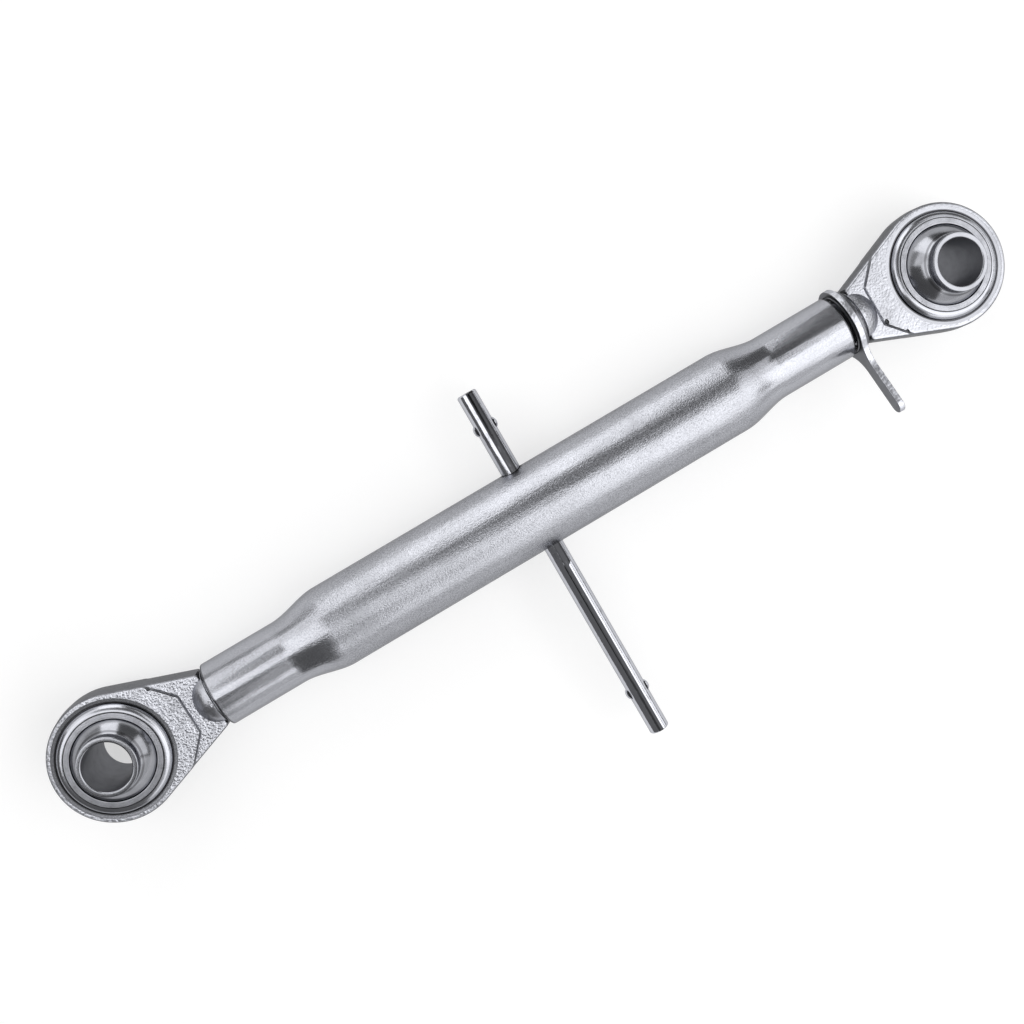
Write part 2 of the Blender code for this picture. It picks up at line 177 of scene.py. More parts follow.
@dataclass
class Sheet:
    """One material's nodes, written as sums."""

    tree: bpy.types.NodeTree

    def node(
        self, kind: str, settings: Optional[dict] = None, inputs: Optional[dict] = None, output: int = 0
    ) -> Signal:
        """Add any node.

        Args:
            kind: the node's type name.
            settings: its own settings, set first.
            inputs: values or links, by socket name or number.
            output: which of its outputs to return.

        Returns:
            The chosen output.
        """
        made = self.tree.nodes.new(kind)
        for key, value in (settings or {}).items():
            setattr(made, key, value)
        for key, value in (inputs or {}).items():
            if isinstance(value, Signal):
                self.tree.links.new(value.socket, made.inputs[key])
            else:
                made.inputs[key].default_value = value
        return Signal(self, made.outputs[output])

    def place(self, centre: Triple, turn: Triple = ZERO, stretch: Triple = ONE) -> Signal:
        """Object coordinates seen from a piece.

        Args:
            centre: the piece's own middle.
            turn: its rotation.
            stretch: factors along its axes, for a drawn-out pattern.

        Returns:
            The coordinates.
        """
        here = self.node("ShaderNodeTexCoord", output=3)
        inputs = {0: here, "Location": centre, "Rotation": turn}
        local = self.node("ShaderNodeMapping", {"vector_type": "TEXTURE"}, inputs)
        return self.node("ShaderNodeVectorMath", {"operation": "MULTIPLY"}, {0: local, 1: stretch})

    def parts(self, place: Signal) -> List[Signal]:
        """The three parts of a vector."""
        split = self.node("ShaderNodeSeparateXYZ", None, {0: place}).socket.node
        return [Signal(self, socket) for socket in split.outputs]

    def reach(self, place: Signal, keep: Triple) -> Signal:
        """How long a vector is, with only the parts whose factor is 1."""
        flat = self.node("ShaderNodeVectorMath", {"operation": "MULTIPLY"}, {0: place, 1: keep})
        return self.node("ShaderNodeVectorMath", {"operation": "LENGTH"}, {0: flat}, output=1)

    def noise(self, place: Signal, size: float, detail: float = 2.0, rough: float = 0.5) -> Signal:
        """Fractal noise."""
        inputs = {"Vector": place, "Scale": 1.0 / size, "Detail": detail, "Roughness": rough}
        return self.node("ShaderNodeTexNoise", {"noise_dimensions": "3D"}, inputs)

    def blend(self, share: Signal, low: Triple, high: Triple) -> Signal:
        """Mix two colours, by how much of the second there is."""
        inputs = {0: share, 6: (*low, 1.0), 7: (*high, 1.0)}
        return self.node("ShaderNodeMix", {"data_type": "RGBA"}, inputs, output=2)

    def bump(self, height: Signal, depth: float) -> Signal:
        """Turn a height into a normal, a height of 1 being this deep."""
        return self.node("ShaderNodeBump", None, {"Strength": 1.0, "Distance": depth, "Height": height})


@dataclass
class Look:
    """What a finish varies over a piece, and the noises that it varies it by."""

    sheet: Sheet
    fine: Signal
    broad: Signal
    share: Optional[Signal] = None
    roughness: Optional[Signal] = None
    height: Optional[Signal] = None


@dataclass(frozen=True)
class Steel:
    """A steel finish: plating, how it was worked, and its grain."""

    name: str
    tone: float
    dark: float
    roughness: float
    spread: float = 0.06
    grain: float = 0.0012
    depth: float = 0.00006
    mottle: float = 0.5
    patch: float = 0.012
    cloud: float = 0.6
    fleck: float = 0.0
    edge: float = 0.6
    centre: Triple = ZERO
    turn: Triple = ZERO
    stretch: Triple = ONE

    @staticmethod
    def grey(tone: float) -> Triple:
        """Zinc's slightly cold grey at a tone."""
        return tuple(tone * part for part in TINT)

    def make(self) -> bpy.types.Material:
        """Build the material.

        Returns:
            The finished material.
        """
        made = bpy.data.materials.new(self.name)
        made.use_nodes = True
        tree = made.node_tree
        sheet = Sheet(tree)
        shader = tree.nodes["Principled BSDF"]
        shader.inputs["Metallic"].default_value = 1.0
        shader.inputs["Specular Tint"].default_value = (self.edge,) * 3 + (1.0,)
        fine = sheet.noise(sheet.place(self.centre, self.turn, self.stretch), self.grain, 2.0, 0.6)
        broad = sheet.noise(sheet.place(self.centre, self.turn), self.patch, 3.0, 0.55)
        look = Look(sheet, fine, broad)
        self.shape(look)
        colour = sheet.blend(look.share.clamped(), self.grey(self.tone), self.grey(self.dark))
        tree.links.new(colour.socket, shader.inputs["Base Color"])
        tree.links.new(look.roughness.socket, shader.inputs["Roughness"])
        tree.links.new(sheet.bump(look.height, self.depth).socket, shader.inputs["Normal"])
        return made

    def shape(self, look: Look) -> None:
        """Fill in the share of the dark tone, the roughness and the height.

        Args:
            look: what is filled in.
        """
        fine, broad = look.fine, look.broad
        flecks = (fine * 0.6 + broad * 0.4).rise(0.55, 0.68) * self.fleck
        look.share = flecks + (0.62 - fine) * self.mottle + (broad - 0.42) * self.cloud
        look.roughness = self.roughness + (fine + broad - 1.0) * self.spread
        look.height = fine


@dataclass(frozen=True)
class SwagedSteel(Steel):
    """Plated tube, satin along its middle and burnished where it was swaged."""

    satin_half: float = 0.118
    burnished_half: float = 0.142
    burnished: float = 0.19
    streak: float = 0.4
    drawn_size: float = 0.005
    drawn_stretch: Triple = (0.16, 1.0, 1.0)
    wander: float = 0.02
    hole: float = 0.0068
    hole_soft: float = 0.0007
    rim: float = 0.2
    rim_wide: float = 0.0013
    rim_soft: float = 0.0005
    painted_shade: float = 2.5

    def shape(self, look: Look) -> None:
        """Make the ends smoother than the middle, with drawn streaks, and paint shade in the cross hole
        and on each end's rim.

        Args:
            look: what is changed.
        """
        super().shape(look)
        sheet = look.sheet
        here = sheet.place(self.centre)
        along = abs(sheet.parts(here)[0])
        out = sheet.reach(here, (1.0, 0.0, 1.0))
        drawn = sheet.noise(sheet.place(ZERO, stretch=self.drawn_stretch), self.drawn_size, 3.0, 0.55)
        end = (along + (look.broad - 0.5) * self.wander).rise(self.satin_half, self.burnished_half)
        look.share = look.share * (1.0 - 0.5 * end) + (drawn - 0.5) * self.streak
        # Painted shade inside the cross hole, where the bar passes, and round its mouth.
        look.share += (1.0 - out.rise(self.hole, self.hole + self.hole_soft)) * self.painted_shade
        # Painted shade on each end's rim, in the gap beside the next part.
        band = self.rim - self.rim_wide
        look.share += along.rise(band, band + self.rim_soft) * self.painted_shade
        look.roughness += (self.burnished - self.roughness) * end
        look.height = look.height * (1.0 - 0.8 * end) + drawn * 1.6


@dataclass(frozen=True)
class DrawnSteel(Steel):
    """Bright drawn bar with a painted dark reflection: a dark streak along its middle."""

    painted_reflection_half: float = 0.0016
    painted_reflection_soft: float = 0.0004
    painted_reflection_shift: float = 0.0012

    def shape(self, look: Look) -> None:
        """Paint a dark reflection as a streak along the bar, wider on its rear half.

        Args:
            look: what is changed.
        """
        super().shape(look)
        across, along, _ = look.sheet.parts(look.sheet.place(self.centre))
        rear = along.rise(-0.001, 0.001)
        off = abs(across - rear * self.painted_reflection_shift) - rear * self.painted_reflection_shift * 0.6
        # Painted reflection: the streak darkens the bar's colour down its middle.
        streak = 1.0 - off.rise(self.painted_reflection_half - self.painted_reflection_soft, self.painted_reflection_half)
        look.share += streak * (0.7 + look.fine * 0.6)


@dataclass(frozen=True)
class CastSteel(Steel):
    """Forged skin with the hammered pits of shot and scale."""

    pit: float = 0.0012
    pit_share: float = 0.7

    def shape(self, look: Look) -> None:
        """Sink soft pits into the skin, darker at their bottoms.

        Args:
            look: what is changed.
        """
        super().shape(look)
        pits = look.sheet.noise(look.sheet.place(self.centre, self.turn), self.pit, 1.0, 0.4)
        look.share += (0.5 - pits) * self.pit_share
        look.height = pits + look.height * 0.25


@dataclass(frozen=True)
class TurnedSteel(Steel):
    """Steel with fine lathe rings round its own axis, and painted shade in its crevices."""

    ring: float = 0.0005
    ring_depth: float = 0.4
    crevice_shade: float = 1.2
    shaded_crevices: Tuple[Pair, ...] = ()

    def shape(self, look: Look) -> None:
        """Add the rings to the grain, and paint shade into the crevices.

        Args:
            look: what is changed.
        """
        super().shape(look)
        local = look.sheet.place(self.centre, self.turn)
        radius = look.sheet.reach(local, (1.0, 1.0, 0.0))
        across = {"W": (radius + look.sheet.parts(local)[2]) / self.ring, "Scale": 1.0}
        rings = look.sheet.node("ShaderNodeTexNoise", {"noise_dimensions": "1D"}, across)
        # Painted shade: a darker band round the axis along each crevice.
        for where, half in self.shaded_crevices:
            look.share += (1.0 - abs(radius - where) / half).rise(0.0, 0.8) * self.crevice_shade
        look.share += (rings - 0.5) * 0.5
        look.roughness += (rings - 0.5) * 0.06
        look.height += rings * self.ring_depth


def clear() -> None:
    """Leave edit mode and deselect everything."""
    if bpy.context.mode != "OBJECT":
        bpy.ops.object.mode_set(mode="OBJECT")
    bpy.ops.object.select_all(action="DESELECT")


def take(piece: Piece) -> None:
    """Make one piece the only one in hand.

    Args:
        piece: the piece to select.
    """
    clear()
    piece.select_set(True)
    bpy.context.view_layer.objects.active = piece


def select_all() -> None:
    """Select the whole mesh in edit mode."""
    bpy.ops.mesh.select_all(action="SELECT")


def draw(name: str, points: Sequence[Vector]) -> Piece:
    """Draw a line, each point extruded from the last, and stay in edit mode.

    Args:
        name: the new piece's name.
        points: the line's points.

    Returns:
        The piece.
    """
    clear()
    bpy.ops.mesh.primitive_plane_add(size=SEED, location=points[0])
    piece = bpy.context.active_object
    piece.name = name
    bpy.ops.object.transform_apply()
    bpy.ops.object.mode_set(mode="EDIT")
    bpy.ops.mesh.select_mode(type="VERT")
    select_all()
    bpy.ops.mesh.merge(type="CENTER")
    for here, there in zip(points, points[1:]):
        bpy.ops.mesh.extrude_vertices_move(TRANSFORM_OT_translate={"value": there - here})
    return piece


def weld() -> None:
    """Merge doubled points and turn every face outwards."""
    select_all()
    bpy.ops.mesh.remove_doubles(threshold=WELD)
    bpy.ops.mesh.normals_make_consistent(inside=False)


def settle(piece: Piece, place: Matrix) -> Piece:
    """Put a piece in its place, with the place in its mesh.

    Args:
        piece: the piece.
        place: where its own origin goes.

    Returns:
        The same piece.
    """
    take(piece)
    piece.matrix_world = place
    bpy.ops.object.transform_apply()
    return piece


def turned(name: str, profile: Profile, steps: int, place: Matrix) -> Piece:
    """Turn a closed profile on the lathe.

    Args:
        name: the new piece's name.
        profile: (radius, height) points; the last joins the first.
        steps: how many steps make the round.
        place: where the piece's own origin and Z go.

    Returns:
        The piece.
    """
    points = [Vector((r, 0, h)) for r, h in profile]
    on_axis = profile[0][0] == 0.0 and profile[-1][0] == 0.0
    piece = draw(name, points if on_axis else points + points[:1])
    select_all()
    bpy.ops.mesh.spin(steps=steps, angle=tau, center=(0, 0, 0), axis=(0, 0, 1))
    weld()
    return settle(piece, place)


def cut_out(name: str, outline: Sequence[Vector], thickness: float) -> Piece:
    """Cut a flat plate along an outline, and stay in edit mode.

    Args:
        name: the new piece's name.
        outline: its corners, all at the same height.
        thickness: how thick the plate is, upwards.

    Returns:
        The plate.
    """
    piece = draw(name, [*outline, outline[0]])
    select_all()
    bpy.ops.mesh.remove_doubles(threshold=WELD)
    bpy.ops.mesh.edge_face_add()
    bpy.ops.mesh.extrude_region_move(TRANSFORM_OT_translate={"value": (0, 0, thickness)})
    weld()
    return piece


def pick(piece: Piece, kind: str, test: Callable[[Sequence[Vector]], bool]) -> None:
    """Select parts of the mesh in edit mode by their place.

    Args:
        piece: the piece in edit mode.
        kind: "VERT" or "EDGE".
        test: given a part's points, says whether it is picked.
    """
    bpy.ops.mesh.select_mode(type=kind)
    bpy.ops.mesh.select_all(action="DESELECT")
    mesh = bmesh.from_edit_mesh(piece.data)
    parts = mesh.verts if kind == "VERT" else mesh.edges
    for part in parts:
        points = [part.co] if kind == "VERT" else [v.co for v in part.verts]
        if test(points):
            part.select_set(True)
    mesh.select_flush_mode()
    bmesh.update_edit_mesh(piece.data)


def modify(piece: Piece, kind: str, **settings: object) -> None:
    """Apply a modifier.

    Args:
        piece: the piece that it works on.
        kind: the modifier's type name.
        settings: its own settings.
    """
    take(piece)
    bpy.ops.object.modifier_add(type=kind)
    step = piece.modifiers[-1]
    for key, value in settings.items():
        setattr(step, key, value)
    bpy.ops.object.modifier_apply(modifier=step.name)


def work(piece: Piece, tool: Piece, how: Join) -> None:
    """Add or cut with a tool solid, which is used up.

    Args:
        piece: the piece that is worked.
        tool: the tool solid.
        how: what it does.
    """
    modify(piece, "BOOLEAN", operation=how.value, solver="EXACT", object=tool)
    bpy.data.objects.remove(tool, do_unlink=True)


def drill(piece: Piece, radius: float, reach: float, place: Matrix, steps: int = 96) -> None:
    """Drill a round hole right through."""
    profile = [(0.0, -reach), (radius, -reach), (radius, reach), (0.0, reach)]
    work(piece, turned("drill", profile, steps, place), Join.CUT)


def bead(radii: Triple, middle: Sequence[float]) -> Piece:
    """Turn a round bead and squeeze it to its three radii.

    Args:
        radii: its radii along X, Y and Z.
        middle: its middle.

    Returns:
        The bead.
    """
    round_side = arc((0.0, 0.0), 1.0, -QUARTER, QUARTER, 16)[1:-1]
    place = Matrix.Translation(middle) @ Matrix.Diagonal((*radii, 1.0))
    return turned("bead", [(0.0, -1.0), *round_side, (0.0, 1.0)], 32, place)


def paint(piece: Piece, *finishes: Steel) -> None:
    """Give a piece its materials, in their order."""
    for finish in finishes:
        piece.data.materials.append(finish.make())


def arc(centre: Pair, radius: float, start: float, end: float, steps: int) -> Profile:
    """Points on a circle."""
    turns = [start + (end - start) * i / steps for i in range(steps + 1)]
    return [(centre[0] + radius * cos(a), centre[1] + radius * sin(a)) for a in turns]


def along_link(x: float, axis: Vector) -> Matrix:
    """A place on the link's axis, its own Z along the link."""
    return Matrix.Translation((x, axis.y, axis.z)) @ LIE


def hand_over(piece: Piece, crease: float, body: str, slot: str, *nodes: str) -> None:
    """Shade a piece and put it on its body in place of its solid.

    Args:
        piece: the finished piece.
        crease: the angle in degrees above which its edges stay sharp.
        body: the body that it rides on.
        slot: the record's material slot; not used.
        nodes: the solids that it stands for.
    """
    take(piece)
    bpy.ops.object.shade_smooth_by_angle(angle=radians(crease))
    modify(piece, "WEIGHTED_NORMAL", keep_sharp=True)
    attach(piece, body)
    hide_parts(*nodes)
    LOG.info("%s: %d faces on %s", piece.name, len(piece.data.polygons), body)


def joint_place(name: str) -> Vector:
    """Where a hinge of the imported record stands."""
    joints = frame["record"]["behaviour"]["joints"]
    return Vector(next(j["pos_m"] for j in joints if j["name"] == name))


@dataclass
class Ball:
    """A pressed-in ball with its sleeve ends and cross bore."""

    name: str
    eye: Vector
    lean: float
    radius: float = 0.0253
    half_width: float = 0.02545
    bore: float = 0.01285
    sleeve: float = 0.0158
    bore_chamfer: float = 0.0009
    sleeve_chamfer: float = 0.0005
    fillet: float = 0.0012
    steps: int = 128
    crease: float = 38.0

    def profile(self) -> Profile:
        """The ball's section, from its lower face round its outside to its bore.

        Returns:
            The closed profile.
        """
        middle = self.sleeve + self.fillet
        height = sqrt((self.radius + self.fillet) ** 2 - middle**2)
        meet = atan2(height, middle)
        upper = arc((middle, height), self.fillet, meet + pi, pi, 8)
        outer = (self.sleeve - self.sleeve_chamfer, self.half_width - self.sleeve_chamfer)
        upper += arc(outer, self.sleeve_chamfer, 0.0, QUARTER, 3)
        inner = (self.bore + self.bore_chamfer, self.half_width - self.bore_chamfer)
        upper += arc(inner, self.bore_chamfer, QUARTER, pi, 4)
        sphere = arc((0.0, 0.0), self.radius, -meet, meet, 48)[1:-1]
        return [(r, -h) for r, h in reversed(upper)] + sphere + upper

    def place(self) -> Matrix:
        """Where the ball's own axes stand in the link."""
        return Matrix.Translation(self.eye) @ Matrix.Rotation(self.lean, 4, "Y")

    def build(self) -> Piece:
        """Turn the ball in its place."""
        return turned(self.name + "_polished", self.profile(), self.steps, self.place())

    def dress(self, piece: Piece) -> None:
        """Polish the ball outside and leave its bore as bored.

        Args:
            piece: the ball.
        """
        where = {"centre": tuple(self.eye), "turn": (0.0, self.lean, 0.0), "patch": 0.006, "fleck": 0.2}
        # The polish carries painted shade along the crease where the sphere meets each sleeve.
        polish = TurnedSteel(
            self.name + "_polish", tone=0.38, dark=0.20, roughness=0.17, spread=0.05, grain=0.0008,
            depth=0.000012, mottle=0.3, cloud=0.7, ring=0.0006, ring_depth=0.5,
            shaded_crevices=((self.sleeve + self.fillet, 0.0007),), **where
        )
        bored = TurnedSteel(
            self.name + "_bore", tone=0.36, dark=0.20, roughness=0.40, spread=0.08, depth=0.00003,
            mottle=0.4, cloud=0.9, ring=0.0004, ring_depth=0.7, **where
        )
        paint(piece, polish, bored)
        back = self.place().inverted()
        for face in piece.data.polygons:
            here = back @ face.center
            if hypot(here.x, here.y) < self.bore + self.bore_chamfer / 4:
                face.material_index = 1

    def run(self) -> None:
        """Build, dress and hand over the ball."""
        piece = self.build()
        self.dress(piece)
        hand_over(piece, self.crease, self.name, "polished_ball", self.name)


@dataclass
class RodEnd:
    """A forged eye with its stepped neck, its boss and its threaded shank."""

    name: str
    eye: Vector
    turn: float
    roll: float
    neck: float
    hand: Hand
    skin_tone: float
    pit_depth: float
    pit_share: float
    dome_depth: float
    dome_fleck: float
    eye_radius: float = 0.035
    half_hub: float = 0.010
    half_neck: float = 0.0085
    shoulder_half: float = 0.016
    corner: float = 0.001
    edge_round: float = 0.0017
    draft: float = 0.0004
    step_at: float = 0.0436
    step_half: float = 0.011
    step_slant: float = radians(48.3)
    step_run: float = 0.0010
    bevel_outer: float = 0.0322
    groove: float = 0.0298
    shoulder_top: float = 0.0256
    lip_height: float = 0.0132
    seat: float = 0.0256
    root: float = 0.015
    dome: float = 0.012
    pad: float = 0.0004
    shank: float = 0.0146
    thread_depth: float = 0.0017
    pitch: float = 0.003
    shank_length: float = 0.170
    relief: float = 0.003
    belly: float = 1.011
    neck_shares: Triple = (1.0, 0.975, 0.885)
    sink: float = 0.0002
    overlap: float = 0.001
    foot: float = 0.0093
    ledge: float = 0.00035
    groove_wall: float = 0.0003
    groove_depth: float = 0.0007
    lip_edge: float = 0.0004
    lip_drop: float = 0.0005
    flank_angle: float = radians(30)
    crest_share: float = 0.4
    thread_steps: int = 40
    dents: Tuple[Triple, ...] = ()
    dent_shares: Triple = (1.0, 1.5, 0.8)
    dent_reach: float = 1.4
    crease: float = 30.0

    def place(self) -> Matrix:
        """Where the eye's own axes stand in the link."""
        swing = Matrix.Rotation(self.turn, 4, "Z") @ Matrix.Rotation(self.roll, 4, "X")
        return Matrix.Translation(self.eye) @ swing

    def outline(self) -> List[Vector]:
        """Eye and neck seen from above, at the lower face.

        Returns:
            The corners.
        """
        radius = self.eye_radius - self.draft
        side = self.shoulder_half - self.draft
        away = hypot(self.neck, side)
        touch = atan2(side, self.neck) + acos(radius / away)
        points = arc((0.0, 0.0), radius, touch, tau - touch, 110)
        back = self.neck - self.corner
        wide = side + self.corner * tan(QUARTER - touch)
        end = side - self.corner
        points += [(back, -wide), (self.neck, -end), (self.neck, end), (back, wide)]
        return [Vector((x, y, -self.half_hub)) for x, y in points]

    def beyond_step(self, point: Vector) -> float:
        """How far a point lies past the hub's stepped edge.

        Args:
            point: the point, in the eye's own axes.

        Returns:
            The distance, below zero on the hub.
        """
        normal = (sin(self.step_slant), cos(self.step_slant))
        slant = (point.x - self.step_at) * normal[0] + (abs(point.y) - self.step_half) * normal[1]
        return max(point.x - self.step_at, slant)

    def plate(self) -> Piece:
        """Forge the plate: rounded edges, drafted sides and stepped neck.

        Returns:
            The plate, in its own axes and in edit mode.
        """
        piece = cut_out(self.name + "_forging", self.outline(), 2 * self.half_hub)
        flat = self.half_hub - HAIR
        pick(piece, "EDGE", lambda p: all(abs(q.z) > flat for q in p) and p[0].z * p[1].z > 0)
        bpy.ops.mesh.bevel(offset=self.edge_round, segments=7, affect="EDGES", profile=0.5)
        self.scribe_step()
        self.sink_neck(piece)
        select_all()
        bpy.ops.mesh.bisect(plane_co=(0, 0, 0), plane_no=(0, 0, 1))
        pick(piece, "VERT", lambda p: abs(p[0].z) < HAIR and p[0].x < self.neck - HAIR)
        bpy.ops.transform.resize(value=(self.belly, self.belly, 1), center_override=(0, 0, 0))
        return piece

    def scribe_step(self) -> None:
        """Cut lines along the stepped edge, closely spaced."""
        sine, cosine = sin(self.step_slant), cos(self.step_slant)
        half = self.step_half
        lines = ((0.0, (1, 0, 0)), (half, (sine, cosine, 0)), (-half, (sine, -cosine, 0)))
        for share in (0.0, 1 / 3, 2 / 3, 1.0):
            for y, normal in lines:
                start = Vector((self.step_at, y, 0)) + Vector(normal) * share * self.step_run
                select_all()
                bpy.ops.mesh.bisect(plane_co=start, plane_no=normal)

    def sink_neck(self, piece: Piece) -> None:
        """Press the neck thinner past each scribed line.

        Args:
            piece: the plate in edit mode.
        """
        levels = (*self.neck_shares, self.half_neck / self.half_hub)
        for number in (1, 2, 3):
            past = self.step_run * number / 3 - 2 * HAIR
            pick(piece, "VERT", lambda p: self.beyond_step(p[0]) > past)
            factor = levels[number] / levels[number - 1]
            bpy.ops.transform.resize(value=(1, 1, factor), center_override=(0, 0, 0))

    def boss_profile(self) -> Profile:
        """The turned boss: seat, lip, ring face, shoulder, groove and bevel.

        Returns:
            The closed profile.
        """
        top, out, edge = self.lip_height, self.shoulder_top, self.lip_edge
        rim = self.half_hub - self.sink
        crown = top - self.lip_drop
        low = self.foot - self.groove_depth
        wide = self.groove - self.groove_wall - out
        quarter = arc((0.0, 0.0), 1.0, QUARTER, 0.0, 14)
        turn = asin((top - edge * 0.75) / self.seat)
        lip = self.seat * cos(turn)
        upper = [
            (lip, top - edge * 0.75),
            (lip + edge * 0.25, top - edge * 0.2),
            (lip + edge, top),
            (out - self.lip_drop, top - edge * 0.25),
            (out - self.ledge, crown - edge),
            (out - edge * 0.25, crown - edge),
            *[(out + wide * x, self.foot + (crown - self.foot) * y) for x, y in quarter],
            (self.groove - self.groove_wall, low),
            (self.groove, low),
            (self.groove + edge * 0.25, self.foot + self.ledge),
            (self.bevel_outer, rim),
            (self.bevel_outer + self.overlap, rim - edge),
        ]
        seat = arc((0.0, 0.0), self.seat, -turn, turn, 24)[1:-1]
        return seat + upper + [(r, -h) for r, h in reversed(upper)]

    def shank_profile(self) -> Profile:
        """Domed root and the core of the shank.

        Returns:
            The closed profile.
        """
        core = self.shank - self.thread_depth - self.sink
        tip = self.neck + self.shank_length - self.overlap
        quarter = arc((0.0, 0.0), 1.0, pi, QUARTER, 16)
        dome = [(self.root * y, self.neck + self.dome * x) for x, y in quarter]
        face = self.neck + self.pad
        return dome + [(self.root, face), (core, face), (core, tip), (0.0, tip)]

    def forging(self) -> Piece:
        """Join plate, boss and shank core, and sink the small flaws.

        Returns:
            The forging, in its own axes.
        """
        piece = self.plate()
        drill(piece, self.bevel_outer, 2 * self.half_hub, Matrix(), 144)
        work(piece, turned("boss", self.boss_profile(), 144, Matrix()), Join.ADD)
        work(piece, turned("shank", self.shank_profile(), 96, LIE), Join.ADD)
        for x, y, radius in self.dents:
            radii = tuple(radius * share for share in self.dent_shares)
            work(piece, bead(radii, (x, y, self.half_hub)), Join.CUT)
        return piece

    def dented(self, here: Vector) -> bool:
        """Whether a point lies in one of the flaws."""
        middles = [(Vector((x, y, self.half_hub)), radius) for x, y, radius in self.dents]
        return any((here - middle).length < radius * self.dent_reach for middle, radius in middles)

    def thread(self) -> Piece:
        """Wind the shank's thread and trim both its ends.

        Returns:
            The thread, in the eye's own axes.
        """
        minor = self.shank - self.thread_depth
        rise = self.thread_depth * tan(self.flank_angle)
        crest = (self.pitch - 2 * rise) * self.crest_share
        flank = [(self.shank, rise), (self.shank, rise + crest)]
        tooth = [(minor, 0.0), *flank, (minor, 2 * rise + crest), (minor, self.pitch)]
        piece = draw(self.name + "_thread", [Vector((r, 0, h)) for r, h in tooth])
        steps = self.thread_steps
        modify(
            piece, "SCREW", angle=tau * self.hand.value, steps=steps, render_steps=steps,
            screw_offset=self.pitch, iterations=int(self.shank_length / self.pitch) + 1,
            use_merge_vertices=True, merge_threshold=SEAM,
        )
        start = self.pitch * 1.5
        bpy.ops.object.mode_set(mode="EDIT")
        for height, side in ((start, -1), (self.shank_length - self.relief, 1)):
            select_all()
            bpy.ops.mesh.bisect(
                plane_co=(0, 0, height), plane_no=(0, 0, side), use_fill=True, clear_outer=True
            )
        weld()
        return settle(piece, Matrix.Translation((self.neck + self.relief - start, 0, 0)) @ LIE)

    def dress(self, piece: Piece) -> None:
        """Give each zone of the forging its own finish.

        Args:
            piece: the forging, still in its own axes.
        """
        where = {"centre": tuple(self.eye), "turn": (self.roll, 0.0, self.turn)}
        # Painted shade: the groove at the shoulder's foot and the shoulder's inner edge are darkened.
        groove = ((self.groove + 0.0001, 0.0008), (self.shoulder_top - 0.0002, 0.0005))
        finishes = (
            CastSteel(
                self.name + "_skin", tone=self.skin_tone, dark=0.22, roughness=0.34, spread=0.10,
                grain=0.0007, depth=self.pit_depth, cloud=0.8, fleck=0.2, pit_share=self.pit_share, **where
            ),
            # The steep sides and rounded edges take a darker tone, which is painted shade; their coarser
            # pits and roughness are the forging's own.
            CastSteel(
                self.name + "_shaded_flank", tone=0.23, dark=0.11, roughness=0.36, spread=0.08,
                depth=0.0004, mottle=0.4, cloud=0.8, fleck=0.3, pit=0.0024, pit_share=0.6, **where
            ),
            TurnedSteel(
                self.name + "_turned", tone=0.50, dark=0.10, roughness=0.20, spread=0.05,
                depth=0.00002, mottle=0.2, cloud=0.5, fleck=0.1, shaded_crevices=groove, **where
            ),
            TurnedSteel(
                self.name + "_lip", tone=0.50, dark=0.18, roughness=0.33, spread=0.08, grain=0.0007,
                depth=0.0001, mottle=0.9, cloud=0.9, fleck=0.5, patch=0.006, ring_depth=0.1, **where
            ),
            CastSteel(
                self.name + "_dome", tone=0.50, dark=0.18, roughness=0.32,
                depth=self.dome_depth, cloud=0.8, fleck=self.dome_fleck, patch=0.004, pit=0.0010,
                pit_share=self.dome_fleck * 3, **where
            ),
            # Near black: painted shade on the step's slope, in the flaws and on the neck's end face beside
            # the tube.
            Steel(self.name + "_painted_shade", tone=0.08, dark=0.04, roughness=0.45, grain=0.0008, **where),
        )
        paint(piece, *finishes)
        points = [v.co for v in piece.data.vertices]
        for face in piece.data.polygons:
            reach = max(hypot(points[i].x, points[i].y) for i in face.vertices)
            face.material_index = self.zone(face.center, face.normal, reach)

    def zone(self, here: Vector, normal: Vector, radius: float) -> Zone:
        """Which zone a face is in.

        Args:
            here: the face's centre.
            normal: its normal.
            radius: how far its furthest corner is from the eye's axis.

        Returns:
            The zone.
        """
        high = abs(here.z)
        if self.dented(here):
            return Zone.CORNER
        if radius < self.shoulder_top and high > self.lip_height - 6 * SLACK:
            return Zone.LIP
        if radius < self.bevel_outer + 4 * SLACK:
            return Zone.TURNED
        on_root = here.x > self.neck - self.dome and hypot(here.y, here.z) < self.root + SLACK
        if on_root and abs(normal.z) < LEVEL:
            return Zone.DOME
        if here.x > self.neck - 3 * SLACK and normal.x > END_ON:
            return Zone.CORNER
        if abs(normal.z) < STEEP:
            return Zone.FLANK
        on_step = SLACK < self.beyond_step(here) < self.step_run * 0.99
        return Zone.CORNER if on_step else Zone.SKIN

    def run(self) -> None:
        """Build, dress and hand over the rod end."""
        piece = self.forging()
        self.dress(piece)
        settle(piece, self.place())
        hand_over(piece, self.crease, self.name, "zinc_forging", self.name)
        thread = settle(self.thread(), self.place())
        name = self.name + "_thread_cut"
        cut = Steel(name, tone=0.38, dark=0.16, roughness=0.24, depth=0.00003, fleck=0.4)
        paint(thread, cut)
        hand_over(thread, self.crease, self.name, "zinc_forging", self.name)


